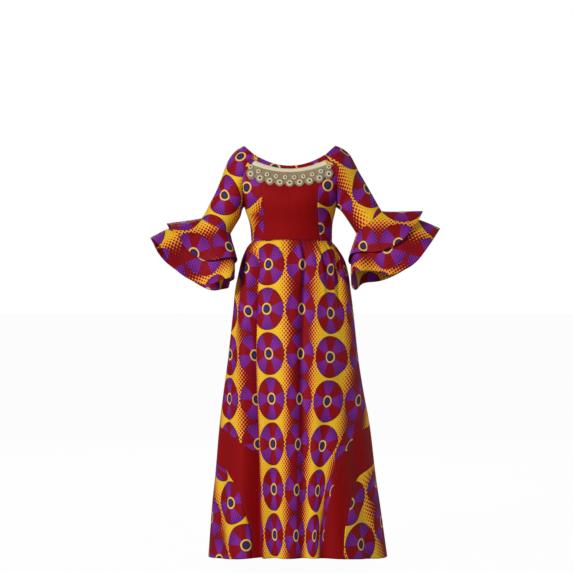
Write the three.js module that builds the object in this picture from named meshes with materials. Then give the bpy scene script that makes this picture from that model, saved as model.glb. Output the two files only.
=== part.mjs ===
// A long wax print dress with raglan sleeves, two-tier flounced cuffs and a banded A-line skirt.
// It keeps the hollow form it has when worn.  Millimetres, +Z up, the front faces -Y, and +X is the
// wearer's left.  The origin lies midway between the tops of the shoulders.
// Each piece of cloth is a wall: a grid of points on its outer face, moved in by the cloth's thickness.
import * as THREE from 'three';

const CLOTH = 1.6;            // thickness of every cloth wall
const SEAM_GAP = 0.8;         // clear distance between two pieces at a seam
const LAID_ON = 1.1;          // clear distance under a piece that lies on another
const BAND_TOP = 0.578;       // share of the skirt's length at which a band leaves the side seam
const BAND_FOOT = 0.692;      // share of the skirt's length at which its lower edge leaves the side seam
const BINDING_WIDTH = 0.035;  // share of the bodice's height that the neck binding covers
const SCALLOPS = 9;           // scallops along the neck trim
const BINDING_REACH = 0.985;  // how far the binding goes towards each raglan seam
const TRIM_TOP = 0.955;       // height of the trim's upper edge on the bodice
const TRIM_REACH = { top: 0.8, foot: 0.9 };
const SLEEVE_INSIDE = { x: 190, z: -190 };   // a point inside each sleeve
const CUFF_INSIDE = 150;      // how far below the elbow a point inside the cuffs lies
const LEAST_PULL = 0.4;       // keeps an edge's corner from being drawn back too far
const KEYS_PER_MM = 20;       // two points on one seam agree to a twentieth of a millimetre
const RIGHT_ANGLE = 90;
const MEETING = 0.05;         // points closer than this are one point

// ---------------------------------------------------------------- tables and curves

// Rows with named columns, each measured at the row's `at`, joined by smooth curves.
function smoothTable(names, rows) {
  const at = rows.map((row) => row[0]);
  const column = (index) => rows.map((row) => row[index]);
  const values = Object.fromEntries(names.map((name, index) => [name, column(index + 1)]));
  const slope = (list, k) => {
    const before = Math.max(k - 1, 0);
    const after = Math.min(k + 1, at.length - 1);
    return (list[after] - list[before]) / (at[after] - at[before]);
  };
  return (where) => {
    const x = THREE.MathUtils.clamp(where, at[0], at[at.length - 1]);
    let k = 0;
    while (k < at.length - 2 && x > at[k + 1]) k += 1;
    const step = at[k + 1] - at[k];
    const u = (x - at[k]) / step;
    const row = {};
    for (const name of names) {
      const list = values[name];
      const chord = (list[k + 1] - list[k]) * (3 - 2 * u) * u * u;
      const bend = u * (1 - u) * step * (slope(list, k) * (1 - u) - slope(list, k + 1) * u);
      row[name] = list[k] + chord + bend;
    }
    return row;
  };
}

const radians = THREE.MathUtils.degToRad;
const mix = THREE.MathUtils.lerp;
const steps = (count) => Array.from({ length: count + 1 }, (_, k) => k / count);

// ---------------------------------------------------------------- bodice

// The side seam and, above the underarm, the raglan seams: half width, height and the depths of the
// front and back seams; the angle that a row turns through; the centre front and centre back.
const BODICE = smoothTable(
  ['seamX', 'seamZ', 'seamFront', 'seamBack', 'turn', 'frontY', 'frontZ', 'backY', 'backZ', 'shift', 'princess'],
  [
    [0.00, 141, -336, 0, 0, 90, -96, -330, 78, -330, 7, 99],
    [0.25, 145, -274, 0, 0, 90, -108, -270, 88, -272, 5, 94],
    [0.50, 160, -215, 0, 0, 90, -123, -212, 98, -215, 2, 94],
    [0.58, 162, -188, -36, 38, 88, -122, -188, 99, -190, 1, 95],
    [0.67, 163, -157, -62, 62, 84, -118, -165, 98, -166, 0, 98],
    [0.76, 162, -125, -80, 76, 78, -110, -142, 95, -143, 0, 102],
    [0.85, 158, -92, -87, 80, 70, -101, -118, 90, -121, 0, 108],
    [0.93, 145, -62, -82, 74, 62, -91, -96, 84, -102, 0, 112],
    [1.00, 122, -36, -66, 60, 55, -80, -75, 76, -86, 0, 112],
  ],
);
const BODICE_ROWS = [0, 0.25, 0.5, 0.58, 0.67, 0.76, 0.85, 0.93, 1];
const BINDING_COLUMNS = 20;
const TRIM_COLUMNS = 4 * SCALLOPS;
const TRIM_ROWS = 3;
const BUST = { x: 72, z: -186, rise: 6, reach: 62 };

// A point of the bodice: `height` from 0 at the waist to 1 at the neckline, `turn` in degrees from the
// centre line towards +X, and `face` -1 for the front or +1 for the back.
function bodicePoint(height, turn, face) {
  const row = BODICE(height);
  const full = radians(row.turn);
  const angle = radians(turn);
  const across = Math.sin(angle) / Math.sin(full);
  const forward = (Math.cos(angle) - Math.cos(full)) / (1 - Math.cos(full));
  const centreY = face < 0 ? row.frontY : row.backY;
  const centreZ = face < 0 ? row.frontZ : row.backZ;
  const seamY = face < 0 ? row.seamFront : row.seamBack;
  const x = row.seamX * across;
  const z = mix(centreZ, row.seamZ, across * across);
  const aside = (Math.abs(x) - BUST.x) / BUST.reach;
  const above = (z - BUST.z) / BUST.reach;
  const bust = face < 0 ? BUST.rise * Math.exp(-aside * aside - above * above) : 0;
  return new THREE.Vector3(x + row.shift, mix(seamY, centreY, forward) - bust, z);
}

// The turn, in degrees, of the princess seam and of the row's end.
function princessTurn(height) {
  const row = BODICE(height);
  return THREE.MathUtils.radToDeg(Math.asin(row.princess / row.seamX * Math.sin(radians(row.turn))));
}
const seamTurn = (height) => BODICE(height).turn;

function bodicePanel(from, to, columns, face) {
  return grid(columns, BODICE_ROWS.length - 1, (s, row) => {
    const height = BODICE_ROWS[row];
    return bodicePoint(height, mix(from(height), to(height), s), face);
  });
}

// The strip along the front neckline.
const neckBinding = () => grid(BINDING_COLUMNS, 1, (s, row) => {
  const height = 1 - BINDING_WIDTH * row;
  return bodicePoint(height, mix(-BINDING_REACH, BINDING_REACH, s) * seamTurn(height), -1);
});

// The trim's lower edge, with `across` from -1 to 1 along it.
const trimFoot = (across) => {
  const scallop = Math.abs(Math.sin(Math.PI * SCALLOPS * (across + 1) / 2));
  return mix(0.775, 0.84, across * across) - 0.045 * scallop;
};
// The turn of a point that lies `across` of the way to the turn `reach`, measured straight across.
const evenTurn = (across, reach) => THREE.MathUtils.radToDeg(Math.asin(across * Math.sin(radians(reach))));
const neckTrim = () => grid(TRIM_COLUMNS, TRIM_ROWS, (s, row) => {
  const across = 2 * s - 1;
  const height = mix(TRIM_TOP, trimFoot(across), row / TRIM_ROWS);
  const reach = mix(TRIM_REACH.top, TRIM_REACH.foot, row / TRIM_ROWS);
  return bodicePoint(height, evenTurn(across, reach * seamTurn(height)), -1);
});

// ---------------------------------------------------------------- sleeves

// From the neckline to the elbow: the raglan seam's height on the bodice, the outermost point, the
// middle of the ring, its half depth, how far it reaches round, and how far forward it stands.
const SLEEVE_COLUMNS = ['seam', 'outX', 'outZ', 'midX', 'midZ', 'depth', 'extent', 'forward'];
const SLEEVE = {
  left: smoothTable(SLEEVE_COLUMNS, [
    [0, 1.00, 161, 1, 122, -36, 68, 90, 0],
    [1, 0.93, 189, -12, 134, -52, 80, 93, 0],
    [2, 0.85, 211, -32, 146, -80, 88, 100, 0],
    [3, 0.76, 228, -62, 160, -112, 90, 112, 0],
    [4, 0.67, 243, -92, 178, -138, 86, 130, 2],
    [5, 0.58, 257, -116, 194, -160, 78, 155, 5],
    [6, 0.50, 271, -141, 216, -178, 70, 180, 8],
    [7, 0.50, 288, -172, 234, -201, 66, 180, 16],
    [8, 0.50, 306, -205, 256, -236, 62, 180, 26],
    [9, 0.50, 321, -232, 277, -271, 58, 180, 35],
  ]),
  right: smoothTable(SLEEVE_COLUMNS, [
    [0, 1.00, 161, 0, 122, -36, 68, 90, 0],
    [1, 0.93, 188, -16, 134, -53, 80, 93, 0],
    [2, 0.85, 209, -40, 146, -82, 88, 100, 0],
    [3, 0.76, 224, -70, 160, -115, 90, 112, 0],
    [4, 0.67, 236, -104, 176, -146, 86, 130, 2],
    [5, 0.58, 248, -136, 190, -172, 78, 155, 5],
    [6, 0.50, 261, -167, 211, -191, 70, 180, 8],
    [7, 0.50, 279, -202, 226, -226, 66, 180, 16],
    [8, 0.50, 295, -235, 243, -258, 62, 180, 26],
    [9, 0.50, 310, -257, 259, -284, 58, 180, 35],
  ]),
};
const UNDERARM_ROW = 6;
const ELBOW_ROW = 9;
const SIDE = { left: 1, right: -1 };
const BLEND_POWER = 3;        // how quickly a ring leaves its seam for its own shape

// A point of the sleeve: `row` of its table and `angle` in degrees, 0 at the outermost point and
// negative towards the front.  Open rings end on the raglan seams, the closed ones under the arm.
function sleevePoint(side, row, angle) {
  const ring = SLEEVE[side](row);
  const outward = new THREE.Vector3(ring.outX - ring.midX, 0, ring.outZ - ring.midZ);
  const ellipse = (degrees) => new THREE.Vector3(ring.midX, -ring.forward, ring.midZ)
    .addScaledVector(outward, Math.cos(radians(degrees)))
    .add(new THREE.Vector3(0, ring.depth * Math.sin(radians(degrees)), 0));
  const point = ellipse(angle);
  if (row <= UNDERARM_ROW) {
    const face = angle < 0 ? -1 : 1;
    const seam = bodicePoint(ring.seam, SIDE[side] * seamTurn(ring.seam), face);
    seam.x *= SIDE[side];
    const share = Math.abs(angle) / ring.extent;
    point.addScaledVector(seam.sub(ellipse(face * ring.extent)), share ** BLEND_POWER);
  }
  point.x *= SIDE[side];
  return point;
}

const sleeve = (side) => grid(18, ELBOW_ROW, (s, row) => {
  const extent = SLEEVE[side](row).extent;
  return sleevePoint(side, row, mix(-extent, extent, s));
});

// ---------------------------------------------------------------- flounced cuffs

// The hem of the lower flounce round the arm: angle as on the sleeve, place from the centre plane, and
// how far down the lower flounce the upper one reaches and how far it stands off it.
const FLOUNCE_COLUMNS = ['hemX', 'hemY', 'hemZ', 'share', 'lift'];
const aroundArm = (rows) => smoothTable(FLOUNCE_COLUMNS, [
  ...rows.slice(-2).map(([angle, ...rest]) => [angle - 360, ...rest]),
  ...rows,
  ...rows.slice(0, 2).map(([angle, ...rest]) => [angle + 360, ...rest]),
]);
const FLOUNCE = {
  left: aroundArm([
    [-180, 212, -62, -460, 0.52, 8],
    [-150, 232, -128, -436, 0.52, 10],
    [-120, 291, -118, -440, 0.53, 12],
    [-90, 350, -132, -451, 0.55, 10],
    [-60, 430, -138, -411, 0.58, 12],
    [-30, 490, -98, -335, 0.60, 14],
    [0, 521, -22, -292, 0.61, 30],
    [30, 490, 42, -350, 0.60, 16],
    [60, 420, 84, -425, 0.57, 12],
    [90, 330, 92, -470, 0.55, 10],
    [120, 262, 62, -480, 0.53, 10],
    [150, 228, 8, -505, 0.52, 8],
  ]),
  right: aroundArm([
    [-180, 204, -58, -478, 0.56, 6],
    [-150, 196, -126, -458, 0.55, 8],
    [-120, 238, -146, -474, 0.56, 12],
    [-90, 304, -116, -483, 0.60, 14],
    [-60, 384, -132, -441, 0.60, 12],
    [-30, 440, -142, -358, 0.59, 10],
    [0, 482, -34, -324, 0.58, 16],
    [30, 471, 36, -364, 0.58, 12],
    [60, 426, 82, -416, 0.58, 10],
    [90, 349, 96, -470, 0.58, 10],
    [120, 283, 70, -504, 0.57, 8],
    [150, 226, 26, -500, 0.56, 6],
  ]),
};
const FLOUNCE_ARCH = 12;      // how far a flounce bows out between its seam and its hem
const FLOUNCE_COLUMNS_ROUND = 26;
const FLOUNCE_ROWS = 5;
const FLOUNCE_STEP = 0.5;     // degrees round the arm used to find the cloth's direction
const DOWN_STEP = 0.02;       // share of the flounce used to find its slope
const LIFT_POWER = 1.5;       // how late the upper flounce stands off the lower one

function lowerFlouncePoint(side, angle, share) {
  const seam = sleevePoint(side, ELBOW_ROW, angle);
  const row = FLOUNCE[side](angle);
  const hem = new THREE.Vector3(SIDE[side] * row.hemX, row.hemY, row.hemZ);
  const middle = sleevePoint(side, ELBOW_ROW, 0).add(sleevePoint(side, ELBOW_ROW, 180)).multiplyScalar(0.5);
  const outward = seam.clone().sub(middle).normalize();
  return seam.lerp(hem, share).addScaledVector(outward, FLOUNCE_ARCH * Math.sin(Math.PI * share));
}

function upperFlouncePoint(side, angle, share) {
  const row = FLOUNCE[side](angle);
  const at = share * row.share;
  const here = lowerFlouncePoint(side, angle, at);
  const along = lowerFlouncePoint(side, angle, at + DOWN_STEP).sub(here);
  const round = lowerFlouncePoint(side, angle + FLOUNCE_STEP, at).sub(lowerFlouncePoint(side, angle - FLOUNCE_STEP, at));
  const out = along.cross(round).normalize().multiplyScalar(SIDE[side]);
  return here.addScaledVector(out, CLOTH + LAID_ON + row.lift * share ** LIFT_POWER);
}

const flounce = (side, pointOf) => grid(FLOUNCE_COLUMNS_ROUND, FLOUNCE_ROWS, (s, row) => (
  pointOf(side, mix(-180, 180, s), row / FLOUNCE_ROWS)
));

// ---------------------------------------------------------------- skirt

// Sections down the skirt, by share of its length: centre, half width, front and back depths.
const SKIRT = smoothTable(['centre', 'half', 'front', 'back'], [
  [0.000, 7, 141, 96, 78],
  [0.015, 8, 153, 106, 90],
  [0.055, 12, 177, 121, 106],
  [0.100, 13, 191, 129, 118],
  [0.150, 11, 201, 137, 129],
  [0.220, 12, 210, 147, 140],
  [0.370, 12, 228, 170, 162],
  [0.465, 13, 243, 184, 176],
  [0.585, 17, 263, 202, 194],
  [0.745, 20, 281, 221, 215],
  [0.830, 22, 293, 230, 225],
  [1.000, 28, 313, 246, 243],
]);
const WAIST = { side: -336, centre: -330 };
const HEM = { side: -1433, front: -1410, back: -1436 };

// The folds: angle from the centre front at five shares of the length, depth there, and half width.
const FOLD_AT = [0, 0.1, 0.35, 0.6, 1];
const FOLDS = [
  { angle: [-55, -47, -43, -36, -30.5], depth: [0, 34, 44, 50, 56], width: [12, 15, 18, 21, 25] },
  { angle: [18.6, 14, 10, 7.5, 3.8], depth: [0, 20, 26, 24, 22], width: [12, 15, 18, 20, 22] },
  { angle: [-24, -22, -19, -18, -16.7], depth: [0, 6, 8, 18, 28], width: [14, 18, 20, 21, 22] },
  { angle: [72, 56, 50, 24, 17.5], depth: [0, 18, 0, 10, 22], width: [12, 14, 20, 26, 28] },
  { angle: [-74, -72, -70, -66, -62], depth: [0, 8, 6, 10, 16], width: [12, 16, 26, 34, 40] },
  { angle: [44, 42, 44, 50, 54], depth: [0, 8, 4, 10, 16], width: [12, 16, 26, 36, 40] },
  { angle: [108, 110, 112, 114, 116], depth: [0, 10, 14, 18, 22], width: [12, 18, 24, 30, 36] },
  { angle: [146, 144, 142, 142, 140], depth: [0, 22, 30, 36, 42], width: [12, 16, 20, 26, 32] },
  { angle: [178, 176, 174, 172, 170], depth: [0, 8, 12, 14, 22], width: [12, 18, 24, 30, 36] },
  { angle: [212, 212, 214, 215, 216], depth: [0, 20, 28, 36, 40], width: [12, 16, 20, 26, 32] },
  { angle: [248, 246, 244, 244, 242], depth: [0, 10, 12, 16, 24], width: [12, 18, 24, 30, 36] },
].map(({ angle, depth, width }) => smoothTable(
  ['angle', 'depth', 'width'],
  FOLD_AT.map((at, k) => [at, angle[k], depth[k], width[k]]),
));

function foldDepth(share, degrees, radius) {
  let total = 0;
  for (const fold of FOLDS) {
    const row = fold(share);
    const apart = radians(THREE.MathUtils.euclideanModulo(degrees - row.angle + 180, 360) - 180) * radius;
    total += Math.max(row.depth, 0) * Math.exp(-((apart / row.width) ** 2));
  }
  return total;
}

// A point of the skirt: `share` from 0 at the waist to 1 at the hem, and degrees from the centre front
// towards +X.
function skirtPoint(share, degrees) {
  const row = SKIRT(share);
  const across = Math.sin(radians(degrees));
  const forward = Math.cos(radians(degrees));
  const depth = forward > 0 ? row.front : row.back;
  const radius = Math.hypot(row.half * across, depth * forward);
  const inward = 1 - foldDepth(share, degrees, radius) / radius;
  const top = mix(WAIST.side, WAIST.centre, forward * forward);
  const foot = mix(HEM.side, forward > 0 ? HEM.front : HEM.back, forward * forward);
  return new THREE.Vector3(
    row.centre + row.half * across * inward,
    -depth * forward * inward,
    mix(top, foot, share),
  );
}

// The bands' edges on each side: share of the length and angle from the centre front.
const BAND_EDGES = {
  left: {
    upper: smoothTable(['angle'], [
      [BAND_TOP, 90], [0.593, 66], [0.611, 56], [0.647, 45], [0.695, 34.5],
      [0.75, 29], [0.815, 24], [0.88, 20.5], [1, 16.8],
    ]),
    lower: smoothTable(['angle'], [
      [BAND_FOOT, 90], [0.724, 62.5], [0.758, 50], [0.8, 43], [0.85, 37.5], [0.91, 32.5], [1, 29.6],
    ]),
  },
  right: {
    upper: smoothTable(['angle'], [
      [BAND_TOP, -90], [0.608, -60], [0.63, -47.5], [0.655, -40], [0.7, -34], [0.8, -30.5], [1, -27],
    ]),
    lower: smoothTable(['angle'], [
      [BAND_FOOT, -90], [0.724, -63], [0.756, -50], [0.79, -43], [0.86, -38.5], [0.92, -35.5], [1, -34.6],
    ]),
  },
};
const FRONT_ROWS = [0, 0.025, 0.07, 0.14, 0.25, 0.37, 0.48, BAND_TOP];
const EDGE_ROWS = [0, 0.035, 0.08, 0.16, 0.28, 0.46, 0.7, 1];
const upperShares = EDGE_ROWS.map((k) => mix(BAND_TOP, 1, k));
const lowerShares = EDGE_ROWS.map((k) => mix(BAND_FOOT, 1, k));

// Inner columns of the front draw together gradually, so that they cross the folds gently.
const GATHER = smoothTable(['angle'], [[0, 90], [0.1, 84], [0.35, 64], [0.58, 44], [0.7, 32], [0.85, 21], [1, 16]]);
const EDGE_POWER = 6;
const COLUMNS = { front: 36, back: 34, band: 6, corner: 7 };

function frontSkirt() {
  const shares = [...FRONT_ROWS, ...upperShares.slice(1)];
  return grid(COLUMNS.front, shares.length - 1, (s, row) => {
    const share = shares[row];
    const across = 2 * s - 1;
    const side = across < 0 ? 'right' : 'left';
    const edge = share > BAND_TOP ? Math.abs(BAND_EDGES[side].upper(share).angle) : RIGHT_ANGLE;
    const gathered = Math.min(GATHER(share).angle, edge);
    return skirtPoint(share, gathered * across + SIDE[side] * (edge - gathered) * across ** EDGE_POWER);
  });
}

const skirtBand = (side) => grid(COLUMNS.band, EDGE_ROWS.length - 1, (s, row) => {
  const upper = BAND_EDGES[side].upper(upperShares[row]).angle;
  const lower = BAND_EDGES[side].lower(lowerShares[row]).angle;
  return skirtPoint(mix(upperShares[row], lowerShares[row], s), mix(upper, lower, s));
});

// The corner panel starts a little below the band's foot, so that its tip has a width.
const CORNER_TIP = 0.02;
const skirtCorner = (side) => grid(COLUMNS.corner, EDGE_ROWS.length - 1, (s, row) => {
  const share = row === 0 ? mix(lowerShares[0], lowerShares[1], CORNER_TIP) : lowerShares[row];
  const inner = BAND_EDGES[side].lower(share).angle;
  return skirtPoint(share, mix(inner, SIDE[side] * RIGHT_ANGLE, s));
});

const BACK_ROWS = [0, 0.025, 0.07, 0.15, 0.28, 0.42, 0.56, 0.7, 0.85, 1];
const backSkirt = () => grid(COLUMNS.back, BACK_ROWS.length - 1, (s, row) => (
  skirtPoint(BACK_ROWS[row], mix(RIGHT_ANGLE, 3 * RIGHT_ANGLE, s))
));

// ---------------------------------------------------------------- walls

// A grid of points on the outer face, as points and triangles.  A row whose ends meet is closed there.
function grid(columns, rows, pointOf) {
  const points = [];
  const lattice = steps(columns).map((s) => steps(rows).map((_, row) => {
    points.push(pointOf(s, row));
    return points.length - 1;
  }));
  steps(rows).forEach((_, row) => {
    const [first, last] = [lattice[0][row], lattice[columns][row]];
    if (points[first].distanceTo(points[last]) < MEETING) lattice[columns][row] = first;
  });
  const triangles = [];
  for (let c = 0; c < columns; c += 1) {
    for (let r = 0; r < rows; r += 1) {
      const [a, b, d, e] = [lattice[c][r], lattice[c][r + 1], lattice[c + 1][r + 1], lattice[c + 1][r]];
      triangles.push([a, b, d], [a, d, e]);
    }
  }
  return onlyUsed({ points, triangles });
}

function onlyUsed({ points, triangles }) {
  const used = [...new Set(triangles.flat())].sort((a, b) => a - b);
  const renumbered = new Map(used.map((old, k) => [old, k]));
  return {
    points: used.map((k) => points[k]),
    triangles: triangles.map((triangle) => triangle.map((k) => renumbered.get(k))),
  };
}
const pointKey = (point) => point.toArray().map((value) => Math.round(value * KEYS_PER_MM)).join();

// Turns the triangles round where the grid runs the other way, so that they all face away from `axis`.
function faceOutward(sheet, inside) {
  const volume = sheet.triangles.reduce((sum, [a, b, c]) => {
    const corners = [a, b, c].map((k) => sheet.points[k].clone().sub(inside));
    return sum + corners[0].dot(corners[1].cross(corners[2]));
  }, 0);
  if (volume < 0) sheet.triangles.forEach((triangle) => triangle.reverse());
  return sheet;
}

const faceNormal = (sheet, [a, b, c]) => {
  const [p, q, r] = [a, b, c].map((k) => sheet.points[k]);
  return q.clone().sub(p).cross(r.clone().sub(p));
};

function pointNormals(sheet) {
  const normals = sheet.points.map(() => new THREE.Vector3());
  for (const triangle of sheet.triangles) {
    const normal = faceNormal(sheet, triangle);
    triangle.forEach((k) => normals[k].add(normal));
  }
  return normals.map((normal) => normal.normalize());
}

// The edges that belong to one triangle only, each with the in-surface direction away from it.
function openEdges(sheet) {
  const seen = new Map();
  for (const triangle of sheet.triangles) {
    triangle.forEach((from, k) => {
      const to = triangle[(k + 1) % 3];
      const twin = `${to},${from}`;
      if (seen.has(twin)) seen.delete(twin);
      else seen.set(`${from},${to}`, { from, to, normal: faceNormal(sheet, triangle).normalize() });
    });
  }
  return [...seen.values()].map(({ from, to, normal }) => {
    const along = sheet.points[to].clone().sub(sheet.points[from]).normalize();
    return { from, to, inward: normal.cross(along) };
  });
}

// Thickens a sheet into a closed wall, its open edges drawn back by half the seam gap.
function wall(sheet, normals, thickness) {
  const edges = openEdges(sheet);
  const pulls = sheet.points.map(() => []);
  edges.forEach(({ from, to, inward }) => {
    pulls[from].push(inward);
    pulls[to].push(inward);
  });
  const outer = sheet.points.map((point, k) => {
    if (!pulls[k].length) return point.clone();
    const sum = pulls[k].reduce((total, pull) => total.add(pull), new THREE.Vector3());
    const size = Math.max(sum.lengthSq() / pulls[k].length, LEAST_PULL);
    return point.clone().addScaledVector(sum, SEAM_GAP / 2 / size);
  });
  const inner = outer.map((point, k) => point.clone().addScaledVector(normals[k], -thickness));
  const count = outer.length;
  const triangles = [
    ...sheet.triangles,
    ...sheet.triangles.map(([a, b, c]) => [c + count, b + count, a + count]),
    ...edges.flatMap(({ from, to }) => [[to, from, from + count], [to, from + count, to + count]]),
  ];
  const geometry = new THREE.BufferGeometry();
  geometry.setAttribute('position', new THREE.Float32BufferAttribute(
    [...outer, ...inner].flatMap((point) => point.toArray()), 3,
  ));
  geometry.setIndex(triangles.flat());
  geometry.computeVertexNormals();
  return geometry;
}

// ---------------------------------------------------------------- the dress

const COLOURS = { print: 0xb0602a, red: 0x820c0f, lace: 0xcbbd97 };
const frontPanel = (from, to, columns) => bodicePanel(from, to, columns, -1);
const inBodice = new THREE.Vector3(0, 0, -180);
const inSkirt = new THREE.Vector3(12, 0, -900);
const inArm = (side) => {
  const ring = SLEEVE[side](ELBOW_ROW);
  return new THREE.Vector3(SIDE[side] * ring.midX, -ring.forward, ring.midZ - CUFF_INSIDE);
};

const pieces = [
  ['front_bodice_centre', 'red', frontPanel((h) => -princessTurn(h), princessTurn, 9), inBodice],
  ['back_bodice', 'print', bodicePanel((h) => -seamTurn(h), seamTurn, 16, 1), inBodice],
  ['neck_binding', 'print', neckBinding(), inBodice],
  ['neck_trim', 'lace', neckTrim(), inBodice],
  ['front_skirt', 'print', frontSkirt(), inSkirt],
  ['back_skirt', 'print', backSkirt(), inSkirt],
];
for (const side of ['left', 'right']) {
  const turned = (turn) => (height) => SIDE[side] * turn(height);
  pieces.push(
    [`front_bodice_side_${side}`, 'print', frontPanel(turned(princessTurn), turned(seamTurn), 4), inBodice],
    [`sleeve_${side}`, 'print', sleeve(side), new THREE.Vector3(SIDE[side] * SLEEVE_INSIDE.x, 0, SLEEVE_INSIDE.z)],
    [`cuff_upper_${side}`, 'print', flounce(side, upperFlouncePoint), inArm(side)],
    [`cuff_lower_${side}`, 'print', flounce(side, lowerFlouncePoint), inArm(side)],
    [`skirt_band_${side}`, 'red', skirtBand(side), inSkirt],
    [`skirt_corner_${side}`, 'print', skirtCorner(side), inSkirt],
  );
}

// Pieces that meet at a seam share the normals there, so that their walls end face to face.
const LAID = { neck_binding: CLOTH + LAID_ON, neck_trim: CLOTH + LAID_ON };
const sheets = pieces.map(([name, colour, sheet, inside]) => {
  faceOutward(sheet, inside);
  return { name, colour, sheet, normals: pointNormals(sheet) };
});
const shared = new Map();
for (const { name, sheet, normals } of sheets) {
  if (name in LAID) continue;
  sheet.points.forEach((point, k) => {
    const key = pointKey(point);
    shared.set(key, (shared.get(key) ?? new THREE.Vector3()).add(normals[k]));
  });
}

const dress = new THREE.Group();
for (const { name, colour, sheet, normals } of sheets) {
  const lift = LAID[name] ?? 0;
  const own = normals.map((normal, k) => (lift ? normal : shared.get(pointKey(sheet.points[k])).clone().normalize()));
  sheet.points.forEach((point, k) => point.addScaledVector(own[k], lift));
  const material = new THREE.MeshStandardMaterial({ color: COLOURS[colour], roughness: 0.75, metalness: 0 });
  const mesh = new THREE.Mesh(wall(sheet, own, CLOTH), material);
  mesh.name = name;
  dress.add(mesh);
}

export default dress;
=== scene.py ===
"""The looks of a long wax print dress: cloth shells, print, plain cotton, lace trim, stitches and light."""
import math
import bisect
import bpy
import numpy as np
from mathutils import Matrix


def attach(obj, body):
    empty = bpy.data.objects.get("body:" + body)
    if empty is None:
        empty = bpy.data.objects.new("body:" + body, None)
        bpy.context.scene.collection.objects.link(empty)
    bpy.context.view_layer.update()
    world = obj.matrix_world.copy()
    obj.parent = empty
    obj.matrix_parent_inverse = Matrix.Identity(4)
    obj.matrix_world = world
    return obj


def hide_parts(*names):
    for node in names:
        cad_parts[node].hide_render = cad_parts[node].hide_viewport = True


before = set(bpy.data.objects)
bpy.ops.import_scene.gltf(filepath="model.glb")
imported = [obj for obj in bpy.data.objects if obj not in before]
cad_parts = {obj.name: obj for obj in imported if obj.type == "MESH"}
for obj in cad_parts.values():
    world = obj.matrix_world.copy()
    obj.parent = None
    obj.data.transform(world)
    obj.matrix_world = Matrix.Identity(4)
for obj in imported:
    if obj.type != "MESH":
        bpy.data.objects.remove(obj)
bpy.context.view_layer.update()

MM = 0.001
CLOTH = 0.8            # thickness of the visible cloth, in millimetres, as every shape below
SIDES = {"left": 1, "right": -1}

# ---------------------------------------------------------------- camera, light and floor

CAMERA_AWAY = 6.5      # metres from the dress to the camera
FRAME_WIDE = 2.0055    # metres across the frame at the dress
CAMERA_PLACE = (-0.0114, -CAMERA_AWAY, -0.4918)
FLOOR_LEVEL = -1.47
FLOOR_REACH = 60
ROOM_LIGHT = 0.15


def camera():
    data = bpy.data.cameras.new("camera")
    data.sensor_width = 36
    data.lens = data.sensor_width * CAMERA_AWAY / FRAME_WIDE
    data.clip_end = 200
    eye = bpy.data.objects.new("camera", data)
    eye.location = CAMERA_PLACE
    eye.rotation_euler = (math.pi / 2, 0, 0)
    bpy.context.scene.collection.objects.link(eye)
    bpy.context.scene.camera = eye


def area_light(name, place, aim, size, watts):
    data = bpy.data.lights.new(name, "AREA")
    data.shape = "DISK"
    data.size = size
    data.energy = watts
    lamp = bpy.data.objects.new(name, data)
    lamp.location = place
    direction = [aim[k] - place[k] for k in range(3)]
    away = math.hypot(direction[0], direction[1])
    lamp.rotation_euler = (math.atan2(away, -direction[2]), 0, math.atan2(direction[1], direction[0]) - math.pi / 2)
    bpy.context.scene.collection.objects.link(lamp)


def backdrop():
    """A white room that lights the dress only a little."""
    world = bpy.data.worlds.new("world")
    world.use_nodes = True
    tree = world.node_tree
    seen, room, both, path = (tree.nodes["Background"], tree.nodes.new("ShaderNodeBackground"),
                              tree.nodes.new("ShaderNodeMixShader"), tree.nodes.new("ShaderNodeLightPath"))
    seen.inputs["Color"].default_value = (1, 1, 1, 1)
    room.inputs["Color"].default_value = (1, 1, 1, 1)
    room.inputs["Strength"].default_value = ROOM_LIGHT
    for start, end in ((path.outputs["Is Camera Ray"], both.inputs[0]), (room.outputs[0], both.inputs[1]),
                       (seen.outputs[0], both.inputs[2]), (both.outputs[0], tree.nodes["World Output"].inputs[0])):
        tree.links.new(start, end)
    bpy.context.scene.world = world


def studio():
    middle = (0, 0, -0.7)
    area_light("key", (-3.0, -4.1, 1.0), middle, 0.8, 205)
    area_light("fill", (1.6, -4.8, 1.6), middle, 1.6, 36)
    area_light("back", (-0.8, 4.4, 1.4), middle, 2.4, 120)
    area_light("side", (4.6, 1.6, 0.8), middle, 2.0, 60)
    backdrop()
    bpy.context.scene.view_settings.view_transform = "Standard"
    mesh = bpy.data.meshes.new("floor")
    corners = [(x * FLOOR_REACH, y * FLOOR_REACH, FLOOR_LEVEL) for x, y in ((-1, -1), (1, -1), (1, 1), (-1, 1))]
    mesh.from_pydata(corners, [], [(0, 1, 2, 3)])
    floor = bpy.data.objects.new("floor", mesh)
    bpy.context.scene.collection.objects.link(floor)
    floor.data.materials.append(floor_finish())


# ---------------------------------------------------------------- shader arithmetic

class Value:
    """A shader socket whose arithmetic adds Math nodes."""

    def __init__(self, nodes, socket):
        self.nodes = nodes
        self.socket = socket

    def math(self, operation, *others):
        return self.nodes.add("ShaderNodeMath", {"operation": operation}, [self, *others])

    def __add__(self, other):
        return self.math("ADD", other)

    def __radd__(self, other):
        return self.math("ADD", other)

    def __sub__(self, other):
        return self.math("SUBTRACT", other)

    def __rsub__(self, other):
        return self.nodes.add("ShaderNodeMath", {"operation": "SUBTRACT"}, [other, self])

    def __mul__(self, other):
        return self.math("MULTIPLY", other)

    def __rmul__(self, other):
        return self.math("MULTIPLY", other)

    def __truediv__(self, other):
        return self.math("DIVIDE", other)

    def __lt__(self, other):
        return self.math("LESS_THAN", other)

    def __gt__(self, other):
        return self.math("GREATER_THAN", other)


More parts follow.
